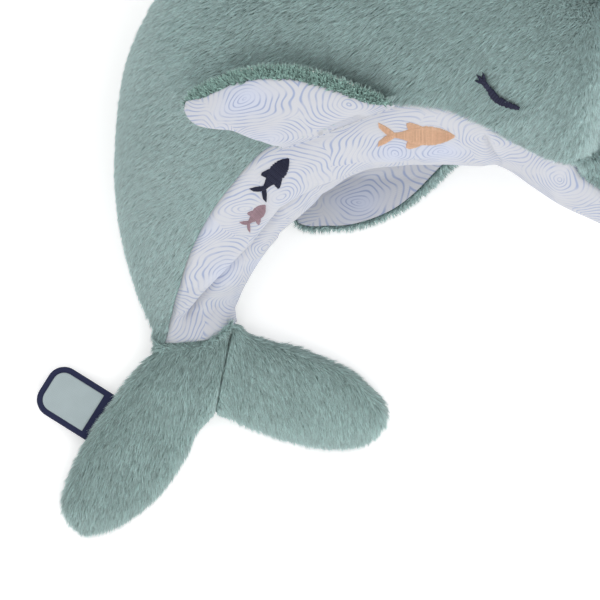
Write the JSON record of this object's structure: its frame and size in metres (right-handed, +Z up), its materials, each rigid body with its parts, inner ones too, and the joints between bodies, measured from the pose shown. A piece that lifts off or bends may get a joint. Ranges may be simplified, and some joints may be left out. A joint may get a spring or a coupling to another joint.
{
  "type": "plush dolphin",
  "caption": "Stuffed dolphin toy lying on its side: sage plush body, printed jersey belly, hinged flippers, dorsal fin, tail fluke and fabric label.",
  "frame": {"origin": "middle of the toy's footprint, on the table it lies on", "axes": "+Z up from the table to the toy's right side, +X towards the beak, +Y from the belly to the back"},
  "size_m": [0.315, 0.3686, 0.1221],
  "materials": {
    "plush": "short sage plush pile",
    "print": "white jersey printed with pale blue rings",
    "fibre": "polyester fibre filling",
    "navy_thread": "navy satin stitch",
    "orange_thread": "orange satin stitch",
    "mauve_thread": "mauve satin stitch",
    "label_navy": "navy woven tape",
    "label_sage": "pale sage woven satin"
  },
  "bodies": {
    "torso": {"right_side_panel": "plush", "left_side_panel": "plush", "belly_panel": "print", "tail_filling": "fibre", "chest_filling": "fibre", "head_filling": "fibre", "beak_filling": "fibre", "right_eye_embroidery": "navy_thread", "left_eye_embroidery": "navy_thread", "orange_fish": "orange_thread", "navy_fish": "navy_thread", "mauve_fish": "mauve_thread"},
    "right_flipper": {"right_flipper_print_face": "print", "right_flipper_plush_face": "plush", "right_flipper_wadding": "fibre"},
    "left_flipper": {"left_flipper_print_face": "print", "left_flipper_plush_face": "plush", "left_flipper_wadding": "fibre"},
    "dorsal_fin": {"dorsal_fin_right_face": "plush", "dorsal_fin_left_face": "plush", "dorsal_fin_filling": "fibre"},
    "right_fluke": {"right_fluke_upper_face": "plush", "right_fluke_lower_face": "plush", "right_fluke_filling": "fibre"},
    "left_fluke": {"left_fluke_upper_face": "plush", "left_fluke_lower_face": "plush", "left_fluke_filling": "fibre"},
    "label": {"label_tab": "label_navy", "label_patch": "label_sage"}
  },
  "joints": [
    {"name": "right_flipper_lift", "type": "hinge", "parent": "torso", "child": "right_flipper", "pos_m": [-0.0344, 0.009, 0.1082], "axis": [0.9308, 0.357, 0.0784], "range_deg": [0, 140]},
    {"name": "left_flipper_tuck", "type": "hinge", "parent": "torso", "child": "left_flipper", "pos_m": [0.002, 0.01485, 0.0146], "axis": [0.9976, 0.0698, 0], "range_deg": [-10, 60]},
    {"name": "dorsal_fin_flop", "type": "hinge", "parent": "torso", "child": "dorsal_fin", "pos_m": [-0.0166, 0.1426, 0.058], "axis": [0.9996, 0.0265, 0], "range_deg": [-30, 30], "stiffness_Nm_per_rad": 0.01},
    {"name": "tail_bend", "type": "hinge", "parent": "torso", "child": "right_fluke", "pos_m": [-0.0591, -0.07795, 0.007], "axis": [-0.9784, -0.2068, 0], "range_deg": [-50, 55]},
    {"name": "fluke_fold", "type": "hinge", "parent": "right_fluke", "child": "left_fluke", "pos_m": [-0.0576, -0.07665, 0.007], "axis": [-0.2037, -0.979, 0], "range_deg": [-45, 45]},
    {"name": "label_flap", "type": "hinge", "parent": "right_fluke", "child": "label", "pos_m": [-0.13376, -0.1352, 0.007], "axis": [0.5299, 0.848, 0], "range_deg": [-80, 80]}
  ]
}
